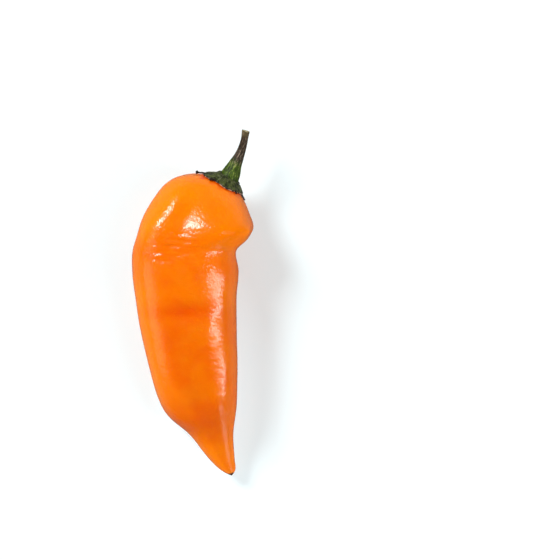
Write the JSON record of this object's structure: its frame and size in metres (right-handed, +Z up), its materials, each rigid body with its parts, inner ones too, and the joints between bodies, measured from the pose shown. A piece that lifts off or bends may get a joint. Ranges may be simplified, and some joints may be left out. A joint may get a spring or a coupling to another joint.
{
  "type": "chilli pepper",
  "caption": "Whole fresh orange chilli pepper, as picked, lying on its side, with a glossy curved pod, a green calyx and a cut stem.",
  "frame": {"origin": "on the surface that the pepper lies on, below the middle of the whole pepper's box", "axes": "+Y towards the stem end, -Y towards the pod's tip, +Z up from the surface, +X to the right seen from above with the stem end at the top"},
  "size_m": [0.0406, 0.1159, 0.0339],
  "materials": {
    "pod_skin": "glossy waxy skin, saturated orange",
    "calyx_green": "dull dark green leaf tissue with dried brown edges",
    "stem_bark": "wrinkled, bright green at its foot and purplish brown towards the cut"
  },
  "bodies": {
    "root": {"pod": "pod_skin", "calyx": "calyx_green", "stem": "stem_bark"}
  },
  "joints": []
}
